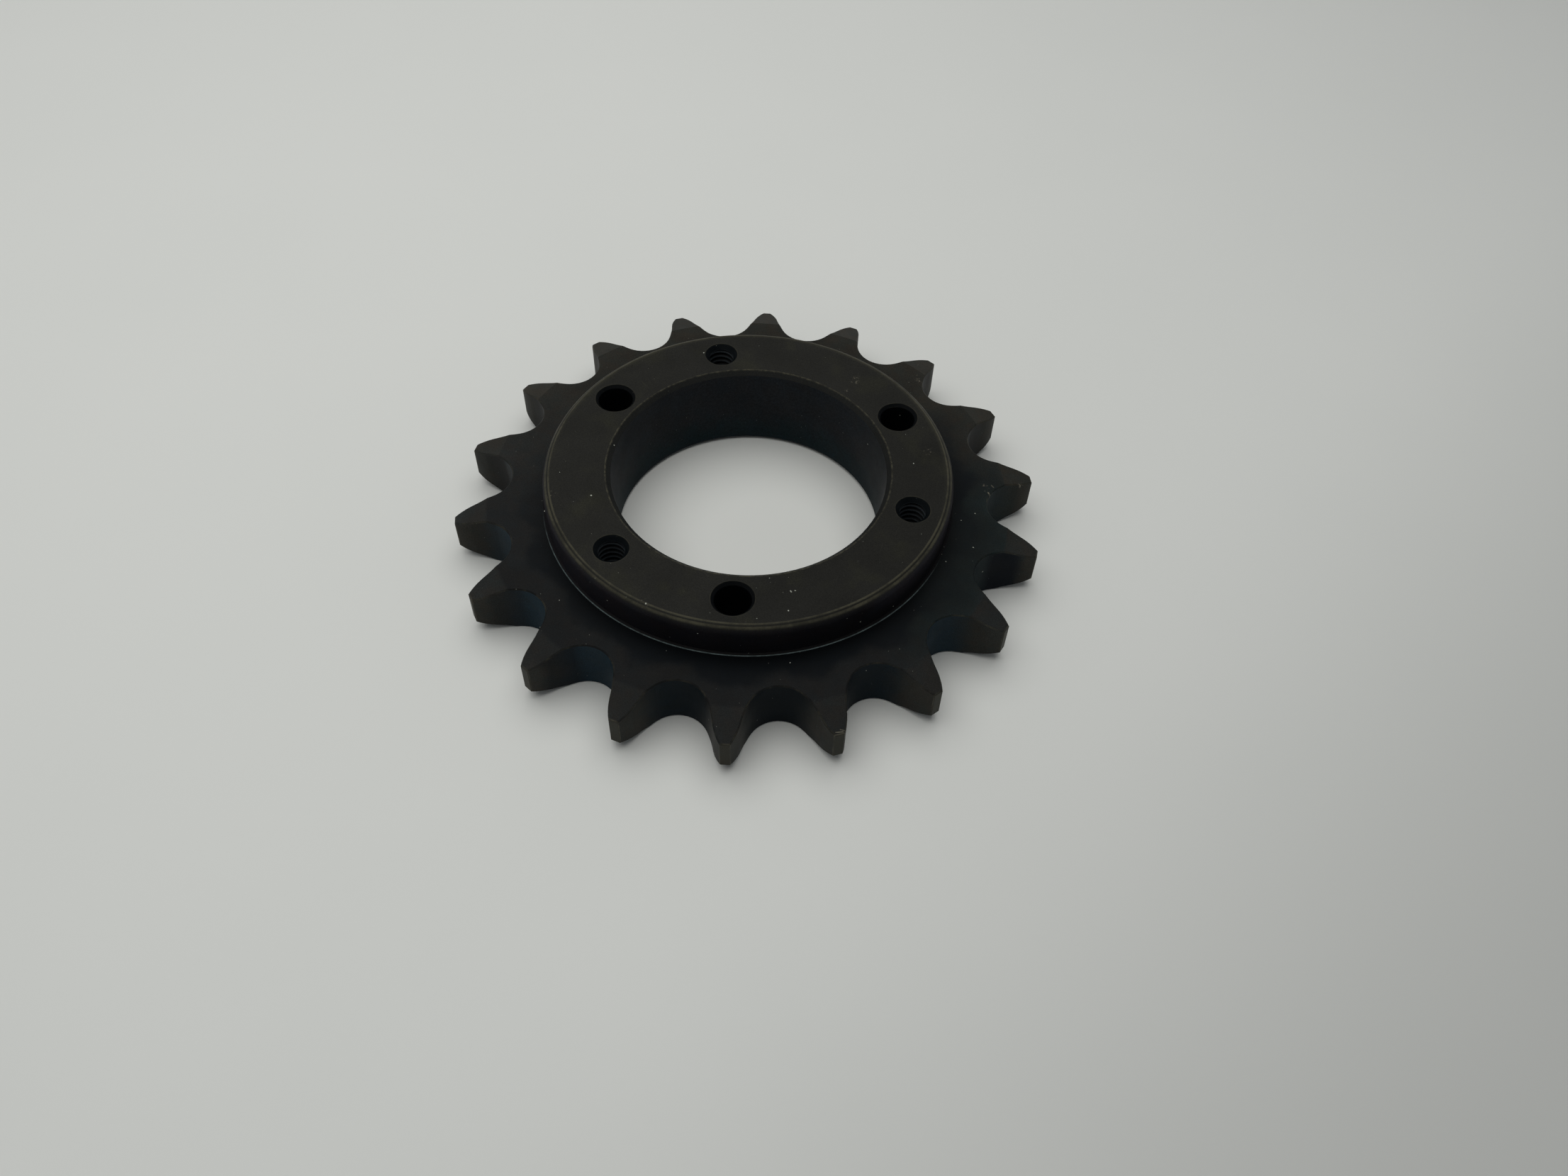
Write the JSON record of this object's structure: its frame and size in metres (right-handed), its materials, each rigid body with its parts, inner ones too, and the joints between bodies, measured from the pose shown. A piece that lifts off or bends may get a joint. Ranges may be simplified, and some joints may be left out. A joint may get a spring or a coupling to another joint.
{
  "type": "taper-bushed roller chain sprocket",
  "caption": "Toothed steel chain wheel with a low hub, a large taper bore for a clamping bushing and plain and tapped screw holes around the bore.",
  "frame": {"origin": "centre of the bore at the flat back face, on the surface that the part rests on", "axes": "+Z along the bore axis from the back face to the hub face; +Y through the middle of one tooth gap"},
  "size_m": [0.1194, 0.118, 0.0191],
  "materials": {
    "toothed_plate": "black oxide on machined steel, hardened teeth with a faint brown cast",
    "hub": "black oxide on turned steel, faint turning marks and worn edges"
  },
  "bodies": {
    "root": {"toothed_plate": "toothed_plate", "hub": "hub"}
  },
  "joints": []
}
